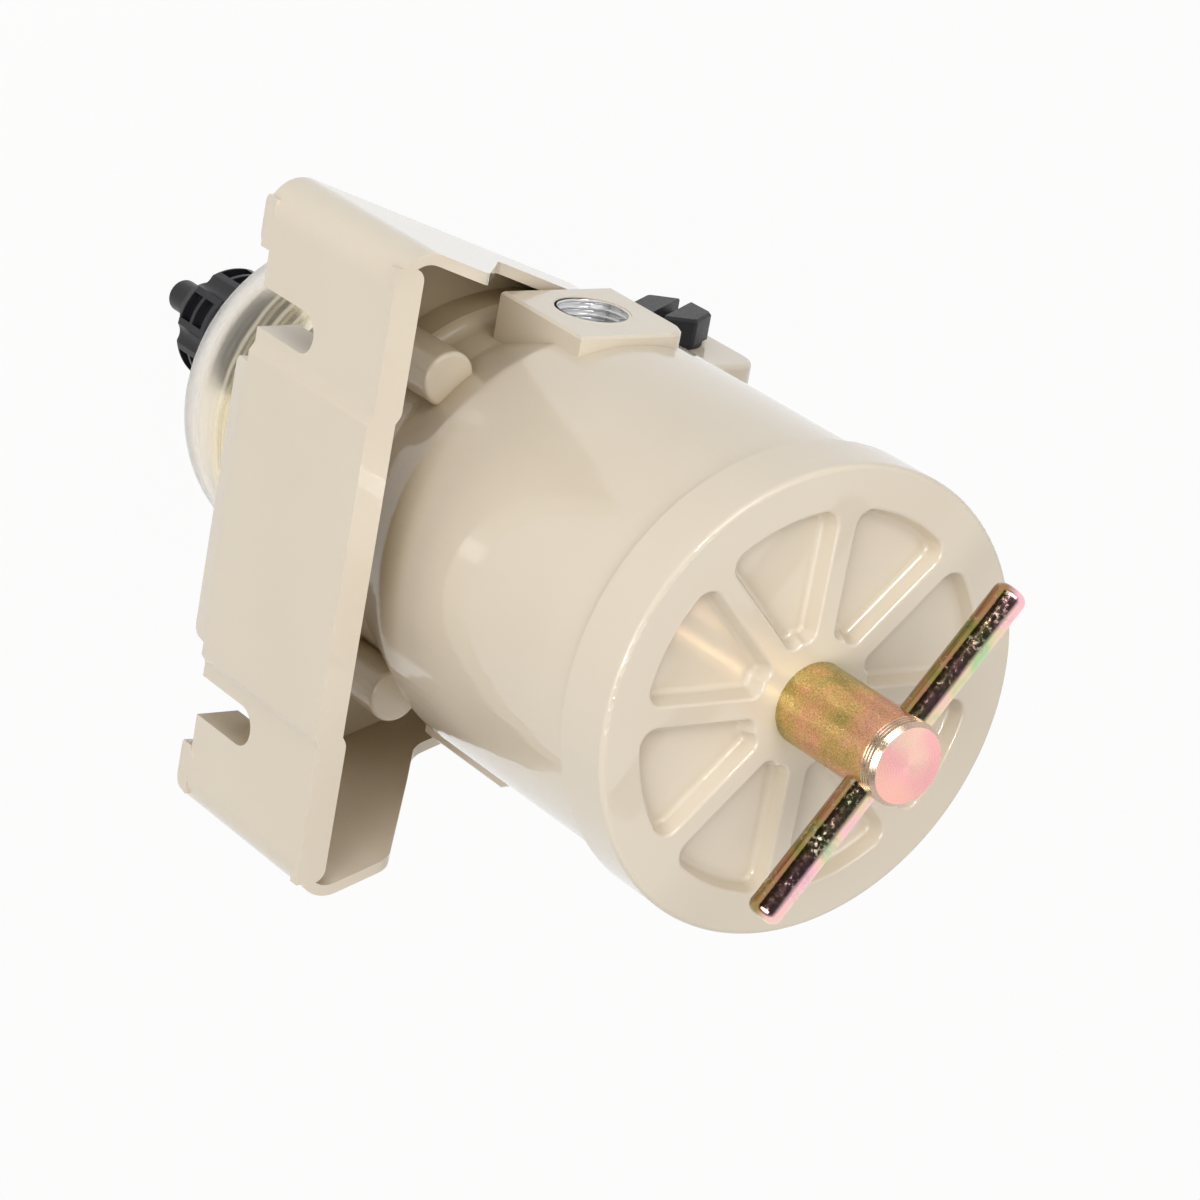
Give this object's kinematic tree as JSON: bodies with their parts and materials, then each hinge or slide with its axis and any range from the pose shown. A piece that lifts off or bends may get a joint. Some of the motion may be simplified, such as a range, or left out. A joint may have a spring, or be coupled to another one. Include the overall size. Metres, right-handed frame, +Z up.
{
  "type": "fuel water separator",
  "caption": "Wall-bracket fuel filter and water separator with ribbed lid, T-handle screw, side ports, clear bowl and lobed drain knob.",
  "frame": {"origin": "on the wall face of the bracket, midway between its two slots, at the height of the bolts", "axes": "+Z up along the body towards the lid, +Y into the wall, +X on the inlet side"},
  "size_m": [0.1456, 0.1198, 0.292],
  "materials": {
    "beige_paint": "gloss enamel over die-cast or pressed metal",
    "yellow_zinc": "zinc plate with an iridescent yellow passivate",
    "zinc_steel": "bright zinc plate",
    "black_rubber": "moulded",
    "black_plastic": "moulded, fine grain",
    "tan_plastic": "moulded nylon, stained by fuel",
    "clear_bowl": "clear moulded plastic with a faint straw tint",
    "plain_aluminium": "drawn tube",
    "brass": "turned",
    "polished_steel": "polished",
    "cap_plastic": "moulded",
    "filter_paper": "resin-treated pleated paper"
  },
  "bodies": {
    "body": {"housing": "beige_paint", "bowl_ring": "beige_paint", "bracket": "beige_paint", "ring_screws": "zinc_steel", "ring_washers": "zinc_steel", "bowl_gasket": "black_rubber", "plug_seal": "black_rubber", "drain_gasket": "black_rubber", "element_top_seal": "black_rubber", "element_bottom_seal": "black_rubber", "port_plug": "black_plastic", "drain_body": "black_plastic", "turbine": "tan_plastic", "water_baffle": "tan_plastic", "bowl": "clear_bowl", "standpipe": "plain_aluminium", "standpipe_nut": "brass", "ball_seat": "brass", "element_top_cap": "cap_plastic", "element_bottom_cap": "cap_plastic", "element_core": "cap_plastic", "element_media": "filter_paper"},
    "lid": {"lid": "beige_paint", "lid_gasket": "black_rubber", "handle_seal": "black_rubber"},
    "handle": {"handle_screw": "yellow_zinc", "handle_bar": "yellow_zinc"},
    "check_ball": {"check_ball": "polished_steel"},
    "drain_washer": {"drain_seal": "black_rubber"},
    "drain_knob": {"drain_knob": "black_plastic"}
  },
  "joints": [
    {"name": "lid_lift", "type": "slide", "parent": "body", "child": "lid", "axis": [0, 0, 1], "range_m": [0, 0.0075]},
    {"name": "handle_turn", "type": "hinge", "parent": "lid", "child": "handle", "pos_m": [0, -0.0673, 0.108], "axis": [0, 0, 1], "range_deg": [0, 1800.5]},
    {"name": "ball_lift", "type": "slide", "parent": "body", "child": "check_ball", "axis": [0, 0, 1], "range_m": [0, 0.004]},
    {"name": "drain_drop", "type": "slide", "parent": "body", "child": "drain_washer", "axis": [0, 0, -1], "range_m": [0, 0.003]},
    {"name": "knob_turn", "type": "hinge", "parent": "drain_washer", "child": "drain_knob", "pos_m": [0, -0.0673, -0.124], "axis": [0, 0, -1], "range_deg": [0, 720]}
  ],
  "couplings": [
    {"joint": "handle_turn", "follows": "lid_lift", "rad_per_m": 4188.8},
    {"joint": "drain_drop", "follows": "knob_turn", "m_per_rad": 0.00023873}
  ]
}
